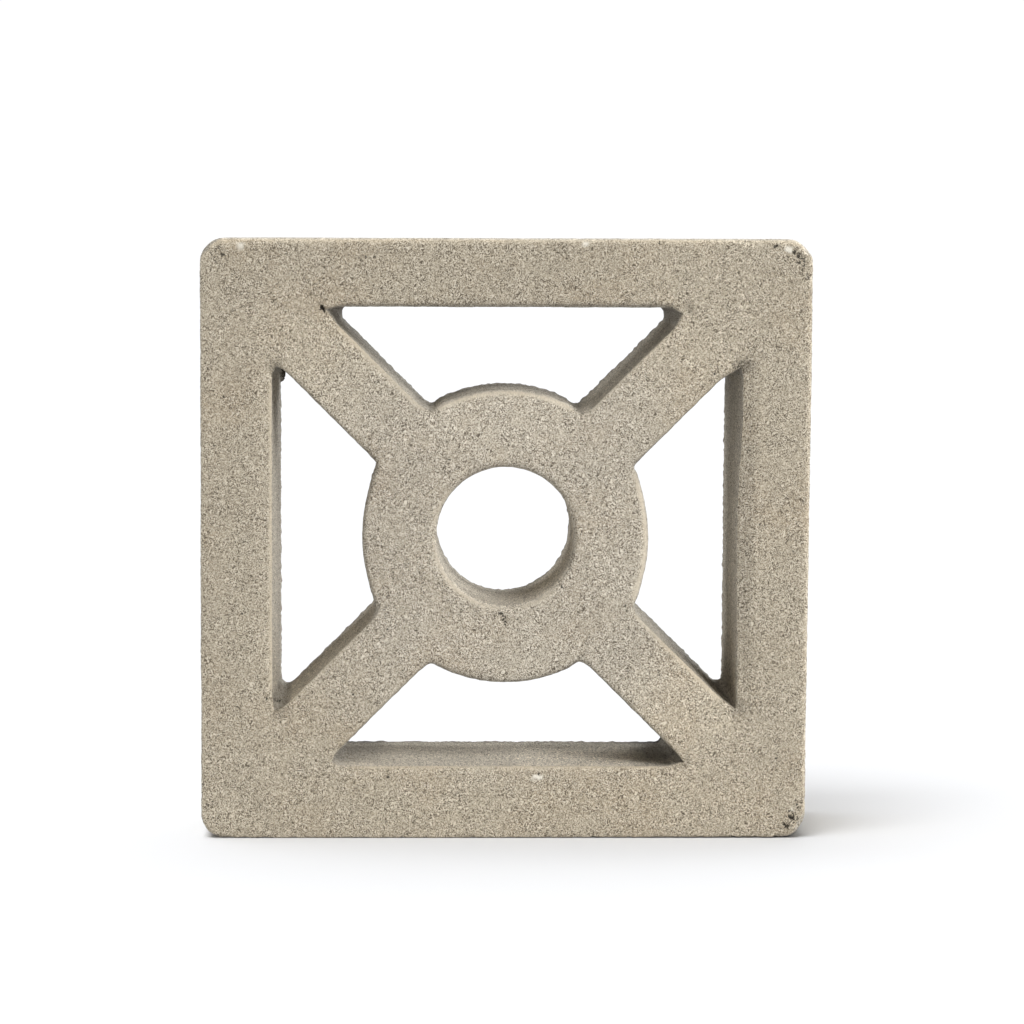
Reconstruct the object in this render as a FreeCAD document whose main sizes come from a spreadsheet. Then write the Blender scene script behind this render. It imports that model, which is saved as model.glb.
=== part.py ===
"""Decorative screen block: a square frame, four diagonal arms and a ring, cast as one piece of concrete.

The block stands on its bed face. X runs along its width, Y from its front face to its back face and
Z up. The origin is the middle of the underside. All sizes are in millimetres.
"""
import FreeCAD, Part
import Sketcher

import os

V = FreeCAD.Vector

# Two places closer than this count as one
TOUCH = 0.01

doc = FreeCAD.newDocument("screen_block")

# Driving sizes
SIZES = {
    "block_width": 290,
    "block_height": 286,
    "block_depth": 90,
    "side_rim": 35,
    "top_rim": 32.5,
    "bottom_rim": 35.5,
    "arm_width": 35,
    "ring_radius": 70,
    "hole_radius": 33,
    "block_corner_radius": 11,
    "opening_corner_radius": 3.5,
    "opening_front_radius": 3.5,
    "outline_front_radius": 2.5,
}
sheet = doc.addObject("Spreadsheet::Sheet", "Sizes")
for row, (alias, value) in enumerate(SIZES.items(), start=1):
    sheet.set(f"A{row}", alias)
    sheet.set(f"B{row}", str(value))
    sheet.setAlias(f"B{row}", alias)
doc.recompute()

# The openings fill a rectangle inside the rims, and the hub of the pattern is its middle.
# The body is drawn around the hub, then raised until its underside is at the origin.
HALF_WIDTH = "(Sizes.block_width / 2 - Sizes.side_rim)"
HALF_HEIGHT = "((Sizes.block_height - Sizes.top_rim - Sizes.bottom_rim) / 2)"
HUB_HEIGHT = f"(Sizes.bottom_rim + {HALF_HEIGHT})"
half_width = sheet.block_width / 2 - sheet.side_rim
half_height = (sheet.block_height - sheet.top_rim - sheet.bottom_rim) / 2
hub_height = sheet.bottom_rim + half_height

body = doc.addObject("PartDesign::Body", "ScreenBlock")
body.Label = "screen_block"
body.setExpression("Placement.Base.z", HUB_HEIGHT)

# A sketch's own geometry: its two axes, its origin, and the ends and centre of a curve
ACROSS, UP = -1, -2
ORIGIN = (-1, 1)
START, END, CENTRE = 1, 2, 3


def origin_plane(role):
    """One of the body's own origin planes."""
    return next(plane for plane in body.Origin.OriginFeatures if plane.Role == role)


def face_sketch(name):
    """An empty sketch half way between the front and the back face, seen from the front."""
    sketch = body.newObject("Sketcher::SketchObject", name)
    sketch.AttachmentSupport = (origin_plane("XZ_Plane"), [""])
    sketch.MapMode = "FlatFace"
    return sketch


def constrain(sketch, *constraint):
    """Tie two pieces of a sketch together."""
    return sketch.addConstraint(Sketcher.Constraint(*constraint))


def dimension(sketch, name, formula, *constraint):
    """A named size of a sketch that follows the driving sizes."""
    sketch.renameConstraint(constrain(sketch, *constraint), name)
    sketch.setExpression(f"Constraints.{name}", formula)


# Solid block with a plain rectangle for its outline
outline = face_sketch("Outline")
left, right = -sheet.block_width / 2, sheet.block_width / 2
under, over = -hub_height, sheet.block_height - hub_height
corners = [V(left, under), V(right, under), V(right, over), V(left, over)]
bed, right_side, top, left_side = (
    outline.addGeometry(Part.LineSegment(start, end))
    for start, end in zip(corners, corners[1:] + corners[:1])
)
constrain(outline, "Coincident", bed, END, right_side, START)
constrain(outline, "Coincident", right_side, END, top, START)
constrain(outline, "Coincident", top, END, left_side, START)
constrain(outline, "Coincident", left_side, END, bed, START)
constrain(outline, "Symmetric", bed, START, bed, END, UP)
constrain(outline, "Symmetric", top, START, top, END, UP)
dimension(outline, "width", "Sizes.block_width", "DistanceX", bed, START, bed, END, sheet.block_width)
dimension(outline, "height", "Sizes.block_height", "Distance", top, START, bed, sheet.block_height)
dimension(outline, "hub_above_bed", HUB_HEIGHT, "Distance", *ORIGIN, bed, hub_height)

block = body.newObject("PartDesign::Pad", "Block")
block.Profile = outline
block.Midplane = True
block.setExpression("Length", "Sizes.block_depth")
doc.recompute()


def cut_through(name, sketch):
    """Cut a sketch through the whole depth, and make sure that the cut has taken material away."""
    solid_before = body.Tip.Shape.Volume
    pocket = body.newObject("PartDesign::Pocket", name)
    pocket.Profile = sketch
    pocket.Type = "ThroughAll"
    pocket.Midplane = True
    doc.recompute()
    if pocket.Shape.Volume >= solid_before:
        raise RuntimeError(f"{name} cuts nothing")
    return pocket


def mirror(name, cut, role):
    """Repeat a cut on the other side of one of the planes through the hub."""
    copy = body.newObject("PartDesign::Mirrored", name)
    copy.Originals = [cut]
    copy.MirrorPlane = (origin_plane(role), [""])
    body.Tip = copy
    doc.recompute()


def opening_sketch(name, outward, middle_line, to_rim, rim_formula, to_corner, corner_formula):
    """One opening: the inner face of a rim, the flanks of the arms beside it and the ring between them.

    Outward points from the hub to the rim, and the opening is the same on both sides of its middle line.
    The arms' centre lines run from the hub to the corners of the rectangle that the openings fill.
    """
    sideways = V(outward.y, -outward.x)
    corner = outward * to_rim + sideways * to_corner
    along = V(corner).normalize()
    flank = (outward * along.dot(sideways) - sideways * along.dot(outward)) * (sheet.arm_width / 2)
    at_rim = flank + along * ((to_rim - flank.dot(outward)) / along.dot(outward))
    at_ring = flank + along * (sheet.ring_radius ** 2 - (sheet.arm_width / 2) ** 2) ** 0.5
    far_rim = at_rim - sideways * (2 * at_rim.dot(sideways))
    far_ring = at_ring - sideways * (2 * at_ring.dot(sideways))

    sketch = face_sketch(name)
    rim = sketch.addGeometry(Part.LineSegment(far_rim, at_rim))
    near_flank = sketch.addGeometry(Part.LineSegment(at_rim, at_ring))
    ring = sketch.addGeometry(Part.Arc(at_ring, outward * sheet.ring_radius, far_ring))
    far_flank = sketch.addGeometry(Part.LineSegment(far_ring, far_rim))
    arm_axis = sketch.addGeometry(Part.LineSegment(V(), corner), True)

    constrain(sketch, "Coincident", rim, END, near_flank, START)
    constrain(sketch, "Coincident", near_flank, END, ring, START)
    constrain(sketch, "Coincident", ring, END, far_flank, START)
    constrain(sketch, "Coincident", far_flank, END, rim, START)
    constrain(sketch, "Coincident", ring, CENTRE, *ORIGIN)
    constrain(sketch, "Coincident", arm_axis, START, *ORIGIN)
    constrain(sketch, "PointOnObject", arm_axis, END, rim)
    constrain(sketch, "Symmetric", rim, START, rim, END, middle_line)
    constrain(sketch, "Parallel", near_flank, arm_axis)
    constrain(sketch, "Equal", near_flank, far_flank)
    dimension(sketch, "hub_to_rim", rim_formula, "Distance", *ORIGIN, rim, to_rim)
    dimension(sketch, "middle_to_corner", corner_formula, "Distance", arm_axis, END, middle_line, to_corner)
    dimension(sketch, "half_arm", "Sizes.arm_width / 2", "Distance", near_flank, START, arm_axis,
              sheet.arm_width / 2)
    dimension(sketch, "ring_radius", "Sizes.ring_radius", "Radius", ring, sheet.ring_radius)
    return sketch


# Four openings between the rims, the arms and the ring
top_profile = opening_sketch("TopProfile", V(0, 1), UP, half_height, HALF_HEIGHT,
                             half_width, HALF_WIDTH)
top_opening = cut_through("TopOpening", top_profile)
mirror("BottomOpening", top_opening, "XY_Plane")
right_profile = opening_sketch("RightProfile", V(1, 0), ACROSS, half_width, HALF_WIDTH,
                               half_height, HALF_HEIGHT)
right_opening = cut_through("RightOpening", right_profile)
mirror("LeftOpening", right_opening, "YZ_Plane")


def round_edges(name, wanted, radius):
    """Round every edge of the body that the test picks out."""
    base = body.Tip
    edges = [f"Edge{number}" for number, edge in enumerate(base.Shape.Edges, start=1) if wanted(edge)]
    fillet = body.newObject("PartDesign::Fillet", name)
    fillet.Base = (base, edges)
    fillet.setExpression("Radius", f"Sizes.{radius}")
    doc.recompute()


def is_outside(edge):
    """Whether an edge belongs to the outside of the block rather than to one of its openings."""
    box = edge.BoundBox
    on_side = max(-box.XMin, box.XMax) > half_width + sheet.side_rim / 2
    on_top = box.ZMax > half_height + sheet.top_rim / 2
    on_bed = -box.ZMin > half_height + sheet.bottom_rim / 2
    return on_side or on_top or on_bed


def is_corner(edge):
    """Whether an edge runs straight from the front face to the back face."""
    return edge.BoundBox.XLength < TOUCH and edge.BoundBox.ZLength < TOUCH


def is_front(edge):
    """Whether an edge lies in the front face."""
    return edge.BoundBox.YMax < TOUCH - sheet.block_depth / 2


# Corners of the block and of its openings, rounded through the depth
round_edges("BlockCorners", lambda edge: is_corner(edge) and is_outside(edge), "block_corner_radius")
round_edges("OpeningCorners", lambda edge: is_corner(edge) and not is_outside(edge), "opening_corner_radius")

# Round hole through the hub
hole_profile = face_sketch("HoleProfile")
hole = hole_profile.addGeometry(Part.Circle(V(), V(0, 0, 1), sheet.hole_radius))
constrain(hole_profile, "Coincident", hole, CENTRE, *ORIGIN)
dimension(hole_profile, "hole_radius", "Sizes.hole_radius", "Radius", hole, sheet.hole_radius)
cut_through("HubHole", hole_profile)

# Front edges, rolled by the mould. The back was struck off level, and its edges are sharp.
round_edges("OpeningFronts", lambda edge: is_front(edge) and not is_outside(edge), "opening_front_radius")
round_edges("OutlineFront", lambda edge: is_front(edge) and is_outside(edge), "outline_front_radius")

# Every object has to be sound before anything is written
doc.recompute()
for item in doc.Objects:
    if "Invalid" in item.State or "Error" in item.State:
        raise RuntimeError(f"{item.Name} failed")
if body.Shape.isNull() or not body.Shape.isValid() or len(body.Shape.Solids) != 1:
    raise RuntimeError("the block is not one valid solid")

os.makedirs("parts", exist_ok=True)
body.Shape.exportStep(f"parts/{body.Label}.step")
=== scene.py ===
import math

import bmesh
import bpy
import numpy as np
from mathutils import Matrix, Vector, noise


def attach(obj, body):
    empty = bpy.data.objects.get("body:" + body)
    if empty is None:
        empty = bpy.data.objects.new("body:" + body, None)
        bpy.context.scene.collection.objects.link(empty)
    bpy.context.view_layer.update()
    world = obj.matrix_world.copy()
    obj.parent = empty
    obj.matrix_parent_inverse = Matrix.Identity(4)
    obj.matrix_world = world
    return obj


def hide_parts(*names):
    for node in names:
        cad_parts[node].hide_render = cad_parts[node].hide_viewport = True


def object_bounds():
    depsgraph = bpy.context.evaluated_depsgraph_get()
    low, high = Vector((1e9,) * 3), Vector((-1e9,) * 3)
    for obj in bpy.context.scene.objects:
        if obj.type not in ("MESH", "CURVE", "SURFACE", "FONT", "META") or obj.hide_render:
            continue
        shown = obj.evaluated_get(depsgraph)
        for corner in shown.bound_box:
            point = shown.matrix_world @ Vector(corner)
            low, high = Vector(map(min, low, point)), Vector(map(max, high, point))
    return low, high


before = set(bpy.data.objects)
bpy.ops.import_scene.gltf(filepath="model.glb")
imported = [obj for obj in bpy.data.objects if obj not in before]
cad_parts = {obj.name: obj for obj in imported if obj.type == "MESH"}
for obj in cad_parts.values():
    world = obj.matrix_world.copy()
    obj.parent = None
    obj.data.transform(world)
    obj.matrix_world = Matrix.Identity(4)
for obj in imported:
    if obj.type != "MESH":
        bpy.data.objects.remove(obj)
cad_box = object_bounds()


# The screen block is one casting in sandy concrete: a square frame, four arms and a ring round a hole.
# A damp mix was tamped face down into a mould, struck off level at the back and turned out at once,
# which left open, sandy faces, rolled front edges and ragged back edges.
MM = 0.001
# The block's sizes and places are in millimetres, and its outside comes from the frame
low_corner, high_corner = (np.round(np.array(corner) / MM, 3) for corner in cad_box)
FRONT, BACK = low_corner[1], high_corner[1]
BED, TOP = low_corner[2], high_corner[2]
RIGHT = high_corner[0]
SIDE_RIM = 35.0
TOP_RIM = 32.5
BOTTOM_RIM = 35.5
HALF_WIDTH = RIGHT - SIDE_RIM
HALF_HEIGHT = (TOP - TOP_RIM - BOTTOM_RIM) / 2.0
HUB_HEIGHT = BOTTOM_RIM + HALF_HEIGHT
CORNER_RADIUS = 3.5
BED_ROLL = 2.5
WELD = 0.001
DIVISION = 0.9
TRIANGLES = 195_000

cast = bpy.data.objects.new("cast_block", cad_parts["screen_block"].data.copy())
bpy.context.scene.collection.objects.link(cast)


def settle(piece):
    """Keep a piece's mesh as its modifiers leave it, and take the modifiers off."""
    finished = piece.evaluated_get(bpy.context.evaluated_depsgraph_get())
    piece.data = bpy.data.meshes.new_from_object(finished)
    piece.modifiers.clear()


# The plain casting is welded, then divided finely enough to carry its wear
shell = bmesh.new()
shell.from_mesh(cast.data)
bmesh.ops.remove_doubles(shell, verts=shell.verts, dist=WELD * MM)
shell.to_mesh(cast.data)
shell.free()
divide = cast.modifiers.new("divide", "REMESH")
divide.mode = "VOXEL"
divide.voxel_size = DIVISION * MM
settle(cast)

surface = cast.data
count = len(surface.vertices)
points = np.empty(count * 3)
surface.vertices.foreach_get("co", points)
points = points.reshape(-1, 3) / MM
normals = np.empty(count * 3)
surface.vertex_normals.foreach_get("vector", normals)
normals = normals.reshape(-1, 3)
ends = np.empty(len(surface.edges) * 2, dtype=np.int64)
surface.edges.foreach_get("vertices", ends)
near, far = ends.reshape(-1, 2).T
neighbours = np.bincount(ends, minlength=count)


def ease(start, end, value):
    """0 up to the start, 1 from the end on, and a smooth step between them. The end may be the lower one."""
    share = np.clip((value - start) / (end - start), 0.0, 1.0)
    return share * share * (3.0 - 2.0 * share)


def spread(field, times_over):
    """Average a value over the surface with its neighbours, this many times."""
    for _ in range(times_over):
        total = np.bincount(near, field[far], count) + np.bincount(far, field[near], count)
        field = 0.5 * field + 0.5 * total / neighbours
    return field


def lumps(size, seed, places=points):
    """Soft random lumps of about this size in millimetres, from -1 to 1."""
    return np.array([noise.noise(Vector(place)) for place in places / size + seed])


def pores(spacing, radius, rarity, seed):
    """How deep each point lies in one of the round air holes scattered through the mix, from 0 to 1.

    The centres are spaced out before they draw a value each, so that neighbours draw unlike ones.
    """
    spacing_out = 3.7
    depth = np.zeros(count)
    for index, place in enumerate(points / spacing + seed):
        distances, centres = noise.voronoi(Vector(place))
        if noise.noise(centres[0] * spacing_out) > rarity:
            depth[index] = max(0.0, 1.0 - distances[0] * spacing / radius)
    return depth


# Where each point lies, seen from the hub, and which way it faces
across, behind, up = points.T
facing_right, facing_back, facing_up = normals.T
rise = up - HUB_HEIGHT
from_hub = np.hypot(across, rise)
to_front = (BACK - behind) / (BACK - FRONT)

# What each point belongs to. Convex edges stand out from the surface around them, and everything nearer to
# the hub than the middle of the rims belongs to the openings
RIM_MIDDLE_ACROSS = 128.0
RIM_MIDDLE_RISE = 124.0
NEAR_SIDE_RIM = 100.0
NEAR_TOP_RIM = 100.0
NEAR_BOTTOM_RIM = 95.0
around = np.stack([spread(points[:, axis], times_over=24) for axis in range(3)], axis=1)
bend = np.sum((points - around) * normals, axis=1)
edge = ease(0.15, 0.9, bend)
is_wall = ease(0.75, 0.35, np.abs(facing_back))
is_back = ease(20.0, 40.0, behind)
is_inside = (np.abs(across) < RIM_MIDDLE_ACROSS) & (np.abs(rise) < RIM_MIDDLE_RISE)
by_left_rim = across < -NEAR_SIDE_RIM
by_right_rim = across > NEAR_SIDE_RIM
by_top_rim = rise > NEAR_TOP_RIM
by_bottom_rim = rise < -NEAR_BOTTOM_RIM
arm_length = math.hypot(HALF_HEIGHT, HALF_WIDTH)
off_arm = np.abs(np.abs(across) * HALF_HEIGHT - np.abs(rise) * HALF_WIDTH) / arm_length
off_rim = np.minimum(HALF_HEIGHT - np.abs(rise), HALF_WIDTH - np.abs(across))
on_arm = ease(58.0, 78.0, from_hub) * ease(24.0, 18.0, off_arm) * ease(-15.0, 0.0, off_rim)
slants_up_right = across * rise > 0.0

# The mould was a little out of true. The ring is flatter at its sides, and the arms lie closer to level, the
# upper right one most of all and the lower left one not at all
RING_FLATNESS = 1.8
LEVELLED = 1.4
MOST_LEVELLED = 1.9
MORE_AT_FRONT = 0.8
flat = ease(48.0, 66.0, from_hub) * ease(92.0, 74.0, from_hub) * ease(0.86, 1.0, np.abs(across) / from_hub)
uneven = np.where(rise > 0.0, MOST_LEVELLED + MORE_AT_FRONT * to_front, 0.0)
level = np.where(slants_up_right, uneven, LEVELLED)

# The right side leans, the bed lifts at its right end, and the back of the bottom rim sags
BED_LIFT = 0.4
BACK_SAG = 0.2
lean = np.interp(up, [20.0, 260.0], [-1.2, 0.85])
lean *= np.maximum(ease(118.0, 145.0, across), 0.6 * ease(104.0, 109.0, across))
lift = BED_LIFT * ease(-60.0, 145.0, across) * ease(30.0, 0.0, up)
sag = BACK_SAG * is_back * is_inside * ease(-0.2, -0.9, rise / from_hub) * ease(95.0, 105.0, -rise)

# The openings are wider at the front, most of all above the arms and beside the left and bottom rims, and
# the front edge of the right one is wavy
DRAW = 0.5
above_arm = on_arm * ease(0.3, 0.6, facing_up) * np.where(slants_up_right, 2.1, 0.8)
along_rim = ease(0.80, 0.95, np.maximum(np.abs(facing_right), np.abs(facing_up)))
at_rim = ease(6.0, 1.0, off_rim) * along_rim
at_rim *= np.where(by_right_rim, 0.0, np.where(by_top_rim, -0.5, 0.9))
draw = (DRAW + above_arm + at_rim) * to_front * is_inside * ease(72.0, 78.0, from_hub)
wavy = np.interp(rise, [-70.0, -25.0, 13.0, 56.0], [0.7, 0.0, -0.3, 1.9]) * to_front * is_inside
wavy *= ease(101.0, 107.0, across) * ease(126.0, 114.0, across)

# The rims are worn beside the left and right openings, and the front edge of the bed is less round
WORN_DEPTH = 1.3
SQUARENESS = 6.0
MOST_SQUARE = 0.3
worn_strip = is_inside * (facing_back < -0.6) * ease(100.0, 75.0, np.abs(rise))
worn_strip *= ease(120.0, 112.5, np.abs(across)) * ease(104.0, 108.0, np.abs(across))
under_roll = np.maximum(BED_ROLL - up, 0.0)
front_roll = np.maximum(FRONT + BED_ROLL - behind, 0.0)
roll_reach = np.maximum(under_roll ** SQUARENESS + front_roll ** SQUARENESS, 1e-9) ** (1.0 / SQUARENESS)
squarer = np.clip(BED_ROLL / roll_reach - 1.0, 0.0, MOST_SQUARE) * (np.abs(across) < 130.0)

warp = normals * (-draw * is_wall)[:, None]
warp[:, 0] += lean + wavy - np.sign(across) * RING_FLATNESS * flat
warp[:, 1] += WORN_DEPTH * worn_strip - squarer * front_roll
warp[:, 2] += lift - sag - np.sign(rise) * level * on_arm - squarer * under_roll

# Each opening runs out in a sharp point at the front, which grows round towards the back:
# where the points of one quarter lie and which way they look from the hub, then how sharp each of them is
TIPS = [((85.1, HALF_HEIGHT), (0.925, 0.381)), ((HALF_WIDTH, 84.4), (0.385, 0.923))]
SHARP = {(-1, -1): (0.4, 0.7), (-1, 1): (0.9, 0.4), (1, -1): (0.9, 0.7), (1, 1): (0.6, 0.6)}
# Half of the angle at a point is 22.5 degrees: its sine, one over its sine and one over its tangent
TIP_SINE = 0.383
TIP_REACH = 2.613
TIP_SLOPE = 2.414
in_tip = np.zeros(count)
for quarter, sharpness in SHARP.items():
    for (tip, outward), sharp in zip(TIPS, sharpness):
        outward = np.multiply(outward, quarter)
        centre = np.multiply(tip, quarter) - outward * TIP_REACH * CORNER_RADIUS
        beside = np.stack([across, rise], axis=1) - centre
        reach = np.linalg.norm(beside, axis=1)
        along = beside @ outward / reach
        gap = TIP_REACH - along - TIP_SLOPE * np.sqrt(np.clip(1.0 - along * along, 0.0, 1.0))
        fade = ease(11.0, 0.0, reach - CORNER_RADIUS) * to_front
        push = sharp * np.where(along > TIP_SINE, gap, 0.0) * fade
        warp[:, [0, 2]] += CORNER_RADIUS * push[:, None] * outward
        in_tip = np.maximum(in_tip, ease(15.0, 3.0, reach) * ease(0.2, 0.8, along))

# Slow waves in the tamped faces, then sand, then air holes, and crumbs lost from the edges
HOLE_DEPTH = 0.9
NOTCH_DEPTH = 0.8
waves = 0.16 * lumps(38.0, seed=11.0) + 0.10 * lumps(14.0, seed=5.0)
sand = 0.16 * lumps(4.2, seed=3.0) + 0.18 * lumps(2.1, seed=9.0)
holes = pores(spacing=5.2, radius=1.1, rarity=0.25, seed=2.0)
crumb = ease(-0.15, 0.35, lumps(4.6, seed=17.0)) + 0.9 * ease(0.0, 0.4, lumps(2.3, seed=23.0))
lost = edge * np.where(is_back > 0.5, 0.2 + 1.1 * crumb, 0.06 + 0.16 * crumb)
on_bed = edge * ease(8.0, 2.0, up)
notch = on_bed * ease(0.12, 0.40, lumps(3.4, seed=31.0))
rough = 1.0 - 0.6 * edge * (1.0 - is_back)
height = waves + rough * sand - HOLE_DEPTH * rough * holes - lost - NOTCH_DEPTH * notch
moved = points + warp + normals * height[:, None]

# The strike-off dragged crumbs over the back edges of the openings
at_back = is_inside * ease(40.5, 43.5, behind) * np.maximum(is_wall, edge)
burr = at_back * (0.40 * ease(-0.1, 0.4, lumps(2.4, seed=41.0)) + 0.25 * lumps(1.6, seed=47.0))
moved[:, [0, 2]] += normals[:, [0, 2]] * burr[:, None]

# Corners rubbed and knocked off: where, which way the break faces, how deep it goes and how far it reaches
BREAKS = [
    ((140.0, -45.0, 281.0), (0.70, -0.10, 0.70), 1.6, 24.0),
    ((141.0, -45.0, 6.0), (0.72, -0.45, -0.45), 1.7, 24.0),
    ((-140.0, -45.0, 281.0), (-0.66, -0.30, 0.68), 1.3, 18.0),
    ((-140.0, 45.0, 4.0), (-0.55, 0.60, -0.58), 3.0, 20.0),
    ((139.0, 45.0, 283.0), (0.50, 0.70, 0.51), 2.6, 20.0),
]
for centre, facing, depth, reach in BREAKS:
    facing = np.array(facing) / np.linalg.norm(facing)
    close = np.linalg.norm(moved - centre, axis=1) < reach
    out = moved[close] @ facing
    ragged = 0.9 * lumps(7.0, seed=depth, places=points[close])
    ragged += 0.8 * lumps(3.0, seed=reach, places=points[close])
    over = out - (out.max() - depth) + ragged
    moved[close] -= np.maximum(over, 0.0)[:, None] * facing

# Pits and scratches, and two lumps with a depth below zero: where they lie, their radius, their depth and
# how much painted shade they hold
PITS = [
    ((-87.4, -44.5, 253.2), 1.5, 3.0, 1.3), ((-86.0, -44.5, 252.0), 1.3, 2.5, 1.3),
    ((-110.0, 42.0, 219.8), 3.2, -2.4, 1.6),
    ((128.0, -44.6, 282.6), 1.1, 0.9, 1.1), ((136.8, -44.6, 280.0), 1.2, 1.2, 1.2),
    ((138.6, -44.6, 277.9), 1.3, 1.2, 1.2), ((139.6, -45.0, 276.0), 4.5, 0.3, 0.50),
    ((142.5, -44.8, 268.0), 3.5, 0.2, 0.45), ((143.0, -44.8, 260.0), 3.0, 0.2, 0.42),
    ((137.1, -44.5, 9.8), 1.3, 1.4, 1.2), ((134.0, -44.5, 5.6), 1.4, 1.6, 1.2),
    ((132.3, -44.5, 4.2), 1.1, 1.2, 1.1), ((138.0, -45.0, 9.0), 5.0, 0.3, 0.50),
    ((140.0, -44.8, 15.0), 3.5, 0.2, 0.45), ((136.6, -44.0, 6.0), 2.4, -0.9, 0.0),
    ((-2.5, -44.8, 108.0), 1.6, 0.9, 1.0), ((-1.1, -44.9, 105.6), 1.5, 0.9, 0.9),
    ((0.4, -45.0, 103.4), 1.3, 0.8, 0.8), ((1.5, -45.0, 99.5), 1.2, 0.6, 0.7),
    ((13.2, -45.0, 30.5), 0.9, 0.5, 0.8), ((16.6, -45.0, 30.8), 0.9, 0.5, 0.8),
    ((-135.8, -44.9, 281.6), 1.0, 0.5, 0.65), ((-134.3, -45.0, 280.2), 1.0, 0.5, 0.75),
    ((-133.9, -44.7, 278.3), 1.0, 0.5, 0.75), ((-135.3, -45.0, 276.4), 1.0, 0.5, 0.65),
    ((-138.0, -44.8, 277.0), 5.0, 0.2, 0.42), ((-140.6, -44.9, 16.0), 3.0, 0.2, 0.48),
    ((-139.5, -44.8, 9.0), 3.0, 0.2, 0.48), ((110.6, -44.9, 226.6), 3.5, 0.2, 0.50),
]
# Two short cracks in the left opening's wall, as rows of pits: where each begins and ends, how many pits it
# has, and the radius, depth and painted shade of each pit
CRACKS = [((-111.2, -34.0, 65.2), (-110.3, -13.0, 63.2)), ((-109.6, -16.0, 62.2), (-108.2, 2.0, 61.0))]
CRACK_PITS = 10
CRACK_PIT = (1.3, 0.6, 1.2)
for start, end in CRACKS:
    for share in np.linspace(0.0, 1.0, CRACK_PITS):
        PITS.append((np.multiply(start, 1.0 - share) + np.multiply(end, share), *CRACK_PIT))
# Air holes and notches along the bed are filled with painted shade
hollow_shade = np.maximum(0.8 * ease(0.05, 0.6, holes), 0.7 * notch)
for centre, radius, depth, darkness in PITS:
    close = np.linalg.norm(moved - centre, axis=1) < 3.0 * radius
    away = np.linalg.norm(moved[close] - centre, axis=1) / radius
    away += 0.9 * lumps(1.5, seed=depth, places=points[close])
    dent = ease(1.25, 0.45, away)
    moved[close] -= (depth * dent)[:, None] * normals[close]
    hollow_shade[close] = np.maximum(hollow_shade[close], darkness * dent)

# Pale crumbs of cement skin pressed into the face: where they lie and their radius
SKINS = [
    ((-125.6, -45.0, 282.4), 2.0), ((-123.6, -45.0, 282.6), 1.5), ((133.4, -45.0, 281.4), 2.2),
    ((14.6, -45.0, 28.8), 1.7), ((16.0, -45.0, 28.9), 1.3), ((-60.0, -45.0, 284.0), 1.3),
    ((38.0, -45.0, 284.0), 1.5), ((139.5, -45.0, 14.0), 1.4),
]
pale = np.zeros(count)
for centre, radius in SKINS:
    close = np.linalg.norm(points - centre, axis=1) < 2.0 * radius
    away = np.linalg.norm(points[close] - centre, axis=1) / radius
    away += 0.5 * lumps(1.8, seed=radius, places=points[close])
    pale[close] = np.maximum(pale[close], ease(1.2, 0.5, away))

# Broad paler and darker patches on the face, then painted shade at the points of the openings and along the
# right one, and small darker marks by the ring: where each lies seen from the front, how far it reaches each
# way, and how pale or dark it is
PATCHES_AND_PAINTED_SHADE = [
    ((0.0, 272.0), (170.0, 26.0), -0.09), ((-131.0, 150.0), (24.0, 140.0), -0.085),
    ((131.0, 150.0), (24.0, 140.0), -0.03), ((0.0, 15.0), (150.0, 24.0), 0.05),
    ((92.0, 270.0), (45.0, 20.0), 0.06), ((-92.0, 18.0), (45.0, 16.0), -0.06),
    ((92.0, 18.0), (45.0, 16.0), 0.035), ((-58.0, 144.0), (20.0, 40.0), -0.03),
    ((0.0, 198.0), (42.0, 20.0), 0.09), ((56.0, 144.0), (22.0, 40.0), 0.06),
    ((0.0, 90.0), (42.0, 22.0), 0.05), ((84.0, 62.0), (30.0, 30.0), 0.15),
    ((-80.0, 226.0), (30.0, 30.0), 0.04), ((80.0, 226.0), (30.0, 30.0), 0.04),
    ((-80.0, 62.0), (30.0, 30.0), -0.04), ((87.0, 255.5), (3.0, 3.0), -0.30),
    ((111.2, 227.0), (4.6, 5.2), -0.45), ((110.8, 62.7), (4.2, 4.6), -0.40),
    ((85.2, 36.1), (4.0, 2.6), -0.35), ((-109.2, 226.3), (4.2, 3.2), -0.30),
    ((-106.5, 61.7), (3.0, 4.0), -0.14), ((114.6, 144.0), (3.4, 85.0), -0.16),
    ((-65.0, 178.0), (3.0, 13.0), -0.26), ((63.5, 176.0), (4.0, 10.0), -0.16),
]
# The tone gathers paler and darker patches, then painted light and shade
tone_and_painted_light = np.ones(count)
for (middle_x, middle_z), (half_x, half_z), amount in PATCHES_AND_PAINTED_SHADE:
    away = np.hypot((across - middle_x) / half_x, (up - middle_z) / half_z)
    tone_and_painted_light += amount * ease(1.35, 0.45, away) * (1.0 - is_wall)

# Painted light and shade on the walls of the openings: painted shade darkens them to the back, those of the
# hole, the left and right rims and the bottom rim get painted light, so do the flanks that look up and to
# the left, and the top of the ring gets painted shade
painted_wall_light = np.interp(behind, [FRONT, -15.0, 25.0, 42.5, BACK], [1.18, 1.12, 0.96, 0.89, 0.52])
painted_wall_light += 0.20 * (from_hub < 50.0) + 0.16 * by_left_rim
painted_wall_light += by_bottom_rim * (0.28 + 0.14 * ease(-30.0, 0.0, behind)) * ease(80.0, 55.0, across)
painted_wall_light += 0.30 * ease(0.3, 0.6, facing_up) * ease(0.3, 0.6, -facing_right) + 0.08 * by_right_rim
painted_wall_light -= np.where((from_hub > 50.0) & (from_hub < 80.0) & (rise > 50.0), 0.12, 0.0)
tone_and_painted_light *= 1.0 + is_wall * is_inside * (painted_wall_light - 1.0)
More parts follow.
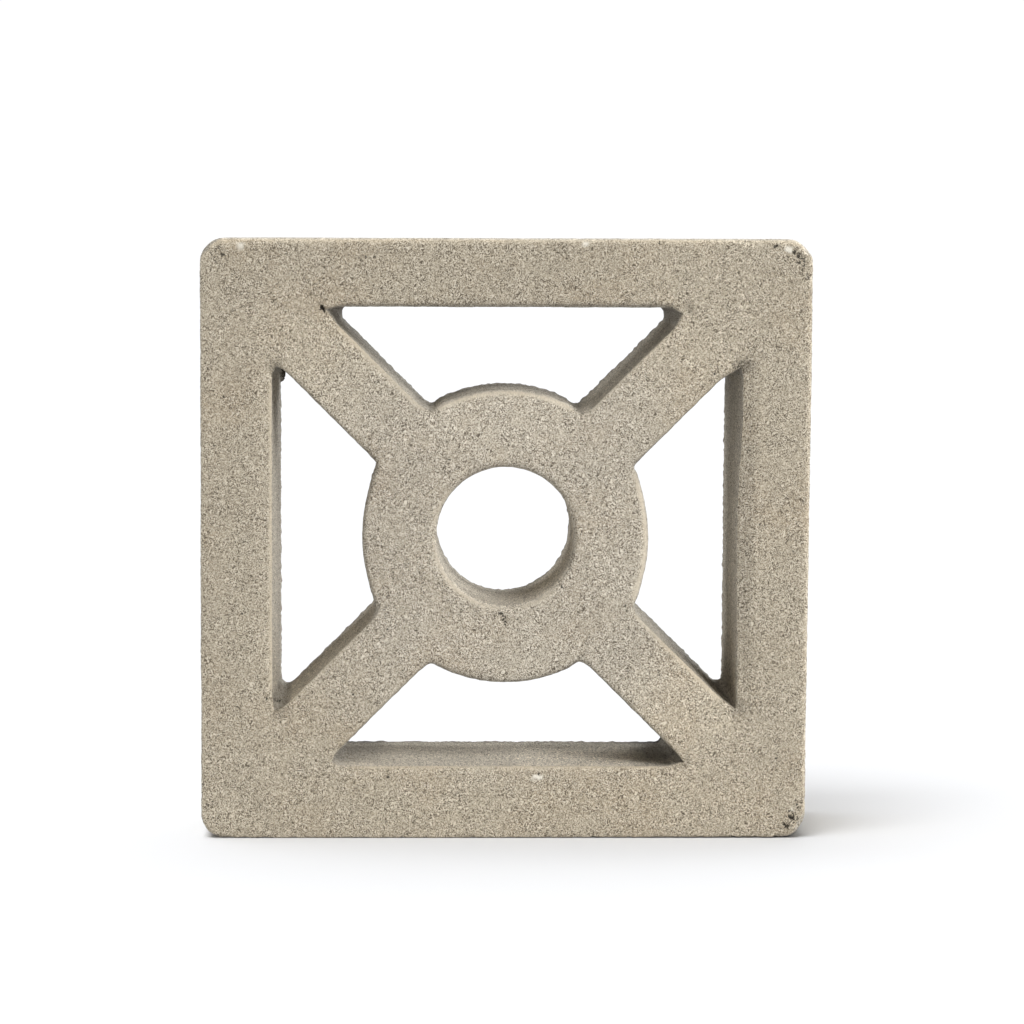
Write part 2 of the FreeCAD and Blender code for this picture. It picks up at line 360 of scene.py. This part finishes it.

# Painted shade along the back edges of the openings and at both ends of the bottom one, and painted light on
# the front of the bottom one right of its middle
painted_back_shade = np.interp(behind, [33.0, 39.0, 42.0, BACK], [0.0, 0.26, 0.50, 0.72])
painted_end_shading = 0.32 * ease(-52.0, -66.0, across) * ease(-35.0, -15.0, behind)
painted_end_shading += 0.35 * ease(62.0, 72.0, across) * ease(-30.0, -10.0, behind)
painted_end_shading -= 0.28 * ease(0.0, 15.0, across) * ease(66.0, 58.0, across) * ease(25.0, 5.0, behind)
painted_back_shade = np.where(by_bottom_rim, painted_back_shade + painted_end_shading, np.where(by_right_rim, 0.2, 0.6) * painted_back_shade)
tone_and_painted_light *= 1.0 - painted_back_shade * is_inside * np.maximum(is_wall, edge * is_back)

# Rolled front edges that look up or to the right get a painted highlight and are smoother, but not at the
# right end of the outline. The painted highlight is weaker on the arms and fades at the points, and the
# edges are less smooth along the outline
outer_turn = np.where(across > RIM_MIDDLE_ACROSS, -1.0, np.where(across < -RIM_MIDDLE_ACROSS, 0.0, 1.0))
rolled_and_highlit = ease(0.04, 0.35, spread(edge, times_over=10)) * (1.0 - is_back)
rolled_and_highlit *= ease(-0.25, 0.25, spread(facing_up + facing_right * outer_turn, times_over=20))
tone_and_painted_light *= 1.0 + rolled_and_highlit * (1.0 - in_tip) * (0.30 - 0.17 * on_arm)
rolled_and_highlit *= np.where(is_inside, 1.0, 0.4)

# Painted shade on faces that look down, apart from the bed, and in the points of the openings
tone_and_painted_light *= 1.0 - 0.32 * ease(0.05, 0.85, -facing_up) * ease(10.0, 20.0, up)
tone_and_painted_light *= 1.0 - 0.25 * in_tip * np.maximum(is_wall, edge)

# Nothing stands proud of the bed that the block rests on, and little of the back, which was struck off level
STRIKE_OFF = BACK + 0.6
moved[:, 2] = np.maximum(moved[:, 2], BED)
moved[:, 1] = np.minimum(moved[:, 1], STRIKE_OFF)
surface.vertices.foreach_set("co", (moved * MM).ravel())
kept_values = {
    "rolled_and_highlit": np.maximum(rolled_and_highlit, 0.5 * edge),
    "wall": is_wall,
    "hollow_shade": hollow_shade,
    "pale": pale,
    "tone_and_painted_light": tone_and_painted_light,
    "ring": ease(135.0, 70.0, from_hub),
}
for name, amount in kept_values.items():
    surface.attributes.new(name, "FLOAT", "POINT").data.foreach_set("value", amount.astype(np.float32))
surface.update()

thin = cast.modifiers.new("thin", "DECIMATE")
thin.ratio = TRIANGLES / sum(len(face.vertices) - 2 for face in surface.polygons)
thin.use_collapse_triangulate = True
settle(cast)
cast.data.name = "cast_block"
cast.data.shade_smooth()

# Warm grey cement and sand: mottled slowly, grained finely, with dark crevices between the grains.
# The frame is a little warmer in colour than the ring
SAND_COLOUR = (0.456, 0.401, 0.306)
WARM_COLOUR = (0.446, 0.377, 0.276)
WALL_COLOUR = (0.456, 0.419, 0.355)
DARK_GRAIN = (0.130, 0.108, 0.080)
PALE_GRAIN = (0.710, 0.648, 0.532)
SKIN_COLOUR = (0.860, 0.820, 0.720)
HOLE_SHADE_COLOUR = (0.040, 0.035, 0.028)
FRAME_TINT = (1.000, 0.987, 0.972)
RING_TINT = (1.000, 1.005, 1.034)
SHEEN = 0.22
GRIT_STRENGTH = 0.6
GRIT_DEPTH = 0.6
concrete = bpy.data.materials.new("sandy_concrete")
concrete.use_nodes = True
mix = concrete.node_tree
mix.nodes.clear()
block_places = mix.nodes.new("ShaderNodeTexCoord").outputs["Object"]


def join(socket, value):
    """Feed a socket from another node, or set it to a plain number or colour."""
    if isinstance(value, bpy.types.NodeSocket):
        mix.links.new(value, socket)
    elif isinstance(value, tuple):
        socket.default_value = (*value, 1.0)
    else:
        socket.default_value = value


def pattern(kind, size, places=block_places):
    """A random pattern of about this size in millimetres."""
    made = mix.nodes.new(kind)
    made.inputs["Scale"].default_value = 1.0 / (size * MM)
    join(made.inputs["Vector"], places)
    return made


def cloud(size, detail=2.0, sharpness=0.5, stretch=0.0, places=block_places):
    """Random cloud of about this size in millimetres, from 0 to 1."""
    made = pattern("ShaderNodeTexNoise", size, places)
    made.inputs["Detail"].default_value = detail
    made.inputs["Roughness"].default_value = sharpness
    made.inputs["Distortion"].default_value = stretch
    return made.outputs["Fac"]


def dragged(size, reach):
    """The places on the block, each shifted at random, which draws grain out into short curved marks."""
    made = pattern("ShaderNodeTexNoise", size)
    made.inputs["Detail"].default_value = 0.0
    shifted = mix.nodes.new("ShaderNodeVectorMath")
    shifted.operation = "MULTIPLY_ADD"
    join(shifted.inputs[0], made.outputs["Color"])
    shifted.inputs[1].default_value = (reach * MM, reach * MM, reach * MM)
    join(shifted.inputs[2], block_places)
    return shifted.outputs["Vector"]


def squeezed(share):
    """The places on the block, squeezed through its depth, which draws grain out from front to back."""
    made = mix.nodes.new("ShaderNodeVectorMath")
    made.operation = "MULTIPLY"
    join(made.inputs[0], block_places)
    made.inputs[1].default_value = (1.0, share, 1.0)
    return made.outputs["Vector"]


def grains(size):
    """Random grains of about this size: the distance from a grain's middle, and the grain's own value."""
    made = pattern("ShaderNodeTexVoronoi", size)
    return made.outputs["Distance"], made.outputs["Color"]


def gaps(size):
    """Distance from the gaps between random grains of about this size."""
    made = pattern("ShaderNodeTexVoronoi", size)
    made.feature = "DISTANCE_TO_EDGE"
    return made.outputs["Distance"]


def ramp(value, start, end, bottom=0.0, top=1.0):
    """Bottom up to the start, top from the end on, and smooth between them. The end may be the lower one."""
    made = mix.nodes.new("ShaderNodeMapRange")
    made.interpolation_type = "SMOOTHSTEP"
    join(made.inputs["Value"], value)
    made.inputs["From Min"].default_value = start
    made.inputs["From Max"].default_value = end
    made.inputs["To Min"].default_value = bottom
    made.inputs["To Max"].default_value = top
    return made.outputs["Result"]


def worked_out(operation, first, second):
    """Two values put together."""
    made = mix.nodes.new("ShaderNodeMath")
    made.operation = operation
    join(made.inputs[0], first)
    join(made.inputs[1], second)
    return made.outputs["Value"]


def plus(first, second):
    """Two values added up."""
    return worked_out("ADD", first, second)


def minus(first, second):
    """The first value less the second."""
    return worked_out("SUBTRACT", first, second)


def times(first, *others):
    """Several values multiplied together."""
    for other in others:
        first = worked_out("MULTIPLY", first, other)
    return first


def paint(amount, under, over, way="MIX"):
    """One colour laid over another."""
    made = mix.nodes.new("ShaderNodeMix")
    made.data_type = "RGBA"
    made.blend_type = way
    join(made.inputs["Factor"], amount)
    join(made.inputs["A"], under)
    join(made.inputs["B"], over)
    return made.outputs["Result"]


def toned(under, amount):
    """A colour made paler or darker."""
    made = mix.nodes.new("ShaderNodeVectorMath")
    made.operation = "SCALE"
    join(made.inputs["Vector"], under)
    join(made.inputs["Scale"], amount)
    return made.outputs["Vector"]


def worn(name):
    """One of the wear values kept on the mesh."""
    made = mix.nodes.new("ShaderNodeAttribute")
    made.attribute_name = name
    return made.outputs["Fac"]


# How grainy the surface is: less on the rolled edges, and a little more on the walls
open_grain = ramp(cloud(8.0, detail=3.0, sharpness=0.6), 0.38, 0.60, bottom=0.75, top=1.10)
smooth_edge = ramp(worn("rolled_and_highlit"), 0.1, 0.7, bottom=1.0, top=0.25)
rough_wall = ramp(worn("wall"), 0.2, 0.9, bottom=1.0, top=1.05)
graininess = times(open_grain, smooth_edge, rough_wall)

# The grain itself, from the finest to the marks that the mould drew along the walls
fine = cloud(0.56, detail=0.0, places=dragged(2.3, reach=2.5))
coarse = cloud(2.6, detail=1.0, stretch=0.4)
crevice = times(ramp(gaps(1.0), 0.18, 0.03), ramp(cloud(1.3, detail=1.0, stretch=0.5), 0.50, 0.61))
pit_distance, pit_value = grains(2.1)
pit = times(ramp(pit_distance, 0.36, 0.10), ramp(pit_value, 0.62, 0.70))
sandgrain_distance, sandgrain_value = grains(1.5)
sandgrain = times(ramp(sandgrain_distance, 0.5, 0.2), ramp(sandgrain_value, 0.66, 0.74))
blotch = ramp(cloud(2.8, detail=2.0, sharpness=0.6, stretch=0.5), 0.48, 0.66)
streak = ramp(cloud(0.9, detail=1.0, stretch=0.2, places=squeezed(0.12)), 0.60, 0.74)

# Colours laid over one another: how much of each, and which
mottle = ramp(cloud(46.0, detail=3.0, sharpness=0.6), 0.42, 0.70)
layers = [
    (mottle, WARM_COLOUR),
    (worn("wall"), WALL_COLOUR),
    (times(blotch, worn("wall"), 0.55), DARK_GRAIN),
    (times(ramp(fine, 0.455, 0.30), graininess), DARK_GRAIN),
    (times(ramp(fine, 0.525, 0.66), graininess, 0.95), PALE_GRAIN),
    (times(sandgrain, graininess, 0.20), PALE_GRAIN),
    (times(crevice, graininess, 0.45), DARK_GRAIN),
    (times(pit, graininess, 0.60), DARK_GRAIN),
    (times(streak, worn("wall"), 0.55), DARK_GRAIN),
    (ramp(worn("pale"), 0.1, 0.8, top=0.90), SKIN_COLOUR),
]
colour = SAND_COLOUR
for amount, layer in layers:
    colour = paint(amount, colour, layer)
tint = paint(worn("ring"), FRAME_TINT, RING_TINT)
colour = paint(minus(1.0, worn("wall")), colour, tint, "MULTIPLY")
# The tone lays the painted light and shade onto the colour
colour = toned(colour, worn("tone_and_painted_light"))
# Painted shade fills the holes, pits, cracks and notches, with a ragged rim
ragged_hollow_shade = plus(worn("hollow_shade"), ramp(cloud(0.9, detail=1.0), 0.30, 0.70, bottom=0.35, top=-0.35))
colour = paint(ramp(ragged_hollow_shade, 0.45, 0.80, top=0.92), colour, HOLE_SHADE_COLOUR)

# Fine relief of the grain
relief = plus(times(fine, 0.7), times(coarse, 0.8))
relief = minus(relief, times(plus(pit, crevice), 0.5))
relief = plus(relief, times(sandgrain, 0.25))
grit = mix.nodes.new("ShaderNodeBump")
grit.inputs["Strength"].default_value = GRIT_STRENGTH
grit.inputs["Distance"].default_value = GRIT_DEPTH * MM
join(grit.inputs["Height"], times(relief, graininess))

finish = mix.nodes.new("ShaderNodeBsdfPrincipled")
finish.inputs["Specular IOR Level"].default_value = SHEEN
join(finish.inputs["Base Color"], colour)
join(finish.inputs["Roughness"], ramp(coarse, 0.3, 0.7, bottom=0.82, top=0.97))
join(finish.inputs["Normal"], grit.outputs["Normal"])
join(mix.nodes.new("ShaderNodeOutputMaterial").inputs["Surface"], finish.outputs["BSDF"])
cast.data.materials.clear()
cast.data.materials.append(concrete)

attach(cast, "root")
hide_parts("screen_block")


# The floor is a sheet of matt white paper. It lies flat under the block, which stands on it loose, and at
# 60 metres it is wide enough to run out of sight.
FLOOR_SIZE = 60.0
PAPER_COLOUR = (0.886, 0.896, 0.915, 1.0)
sweep = bmesh.new()
bmesh.ops.create_grid(sweep, x_segments=1, y_segments=1, size=FLOOR_SIZE / 2)
paper_mesh = bpy.data.meshes.new("paper_floor")
sweep.to_mesh(paper_mesh)
sweep.free()
paper_floor = bpy.data.objects.new("paper_floor", paper_mesh)
bpy.context.scene.collection.objects.link(paper_floor)
paper = bpy.data.materials.new("white_paper")
paper.use_nodes = True
paper_finish = paper.node_tree.nodes["Principled BSDF"]
paper_finish.inputs["Base Color"].default_value = PAPER_COLOUR
paper_finish.inputs["Roughness"].default_value = 1.0
paper_finish.inputs["Specular IOR Level"].default_value = 0.0
paper_mesh.materials.append(paper)


# The lamps are large, soft and far away, and each lights one thing only. Four stand round the block, the
# strongest on its right. Three hang high over the paper, at the left, the front and the back, and give the
# block's soft shadow.
def lamp(name, azimuth, elevation, angle, strength, lit):
    """A broad, distant lamp that lights one thing. Azimuth 0 is in front and 90 is on the right."""
    light = bpy.data.lights.new(name, "SUN")
    light.energy = strength * math.pi
    light.angle = math.radians(angle)
    holder = bpy.data.objects.new(name, light)
    turn = math.radians(azimuth)
    tilt = math.radians(elevation)
    towards = Vector((math.sin(turn) * math.cos(tilt), -math.cos(turn) * math.cos(tilt), math.sin(tilt)))
    holder.rotation_mode = "QUATERNION"
    holder.rotation_quaternion = towards.to_track_quat("Z", "Y")
    bpy.context.scene.collection.objects.link(holder)
    group = bpy.data.collections.new(name + "_lights")
    group.objects.link(lit)
    holder.light_linking.receiver_collection = group


lamp("front_lamp", azimuth=33.0, elevation=35.0, angle=30.0, strength=0.68, lit=cast)
lamp("right_lamp", azimuth=98.0, elevation=40.0, angle=25.0, strength=1.00, lit=cast)
lamp("back_lamp", azimuth=150.0, elevation=15.0, angle=30.0, strength=0.60, lit=cast)
lamp("left_lamp", azimuth=-112.0, elevation=18.0, angle=25.0, strength=0.32, lit=cast)
lamp("floor_front_lamp", azimuth=-30.0, elevation=62.0, angle=30.0, strength=0.44, lit=paper_floor)
lamp("floor_left_lamp", azimuth=-90.0, elevation=70.0, angle=40.0, strength=0.32, lit=paper_floor)
lamp("floor_back_lamp", azimuth=180.0, elevation=68.0, angle=45.0, strength=0.25, lit=paper_floor)


# The room is plain white all round. It is dim where it lights the block and the paper, and bright where it
# is seen behind them.
WHITE = (1.0, 1.0, 1.0, 1.0)
ROOM_LIGHT = 0.25
ROOM_SEEN = 1.02
room = bpy.data.worlds.new("white_room")
room.use_nodes = True
bpy.context.scene.world = room
walls = room.node_tree
dim = walls.nodes["Background"]
dim.inputs["Color"].default_value = WHITE
dim.inputs["Strength"].default_value = ROOM_LIGHT
bright = walls.nodes.new("ShaderNodeBackground")
bright.inputs["Color"].default_value = WHITE
bright.inputs["Strength"].default_value = ROOM_SEEN
seen = walls.nodes.new("ShaderNodeMixShader")
ray = walls.nodes.new("ShaderNodeLightPath")
walls.links.new(ray.outputs["Is Camera Ray"], seen.inputs["Fac"])
walls.links.new(dim.outputs["Background"], seen.inputs[1])
walls.links.new(bright.outputs["Background"], seen.inputs[2])
walls.links.new(seen.outputs["Shader"], walls.nodes["World Output"].inputs["Surface"])
bpy.context.scene.view_settings.view_transform = "Standard"


# The camera stands nearly two metres back, a little to the left of the block and level with its top.
# It has a long lens and looks slightly down at the block. The place of its eye is in metres.
EYE = Vector((-0.032842, -1.927785, 0.284971))
YAW = math.radians(-1.093)
PITCH = math.radians(-3.909)
ROLL = math.radians(-0.145)
UPRIGHT = math.radians(90.0)
lens = bpy.data.cameras.new("camera")
lens.sensor_width = 36.0
lens.lens = 139.56
camera = bpy.data.objects.new("camera", lens)
camera.matrix_world = (
    Matrix.Translation(EYE)
    @ Matrix.Rotation(YAW, 4, "Z")
    @ Matrix.Rotation(UPRIGHT + PITCH, 4, "X")
    @ Matrix.Rotation(-ROLL, 4, "Z")
)
bpy.context.scene.collection.objects.link(camera)
bpy.context.scene.camera = camera
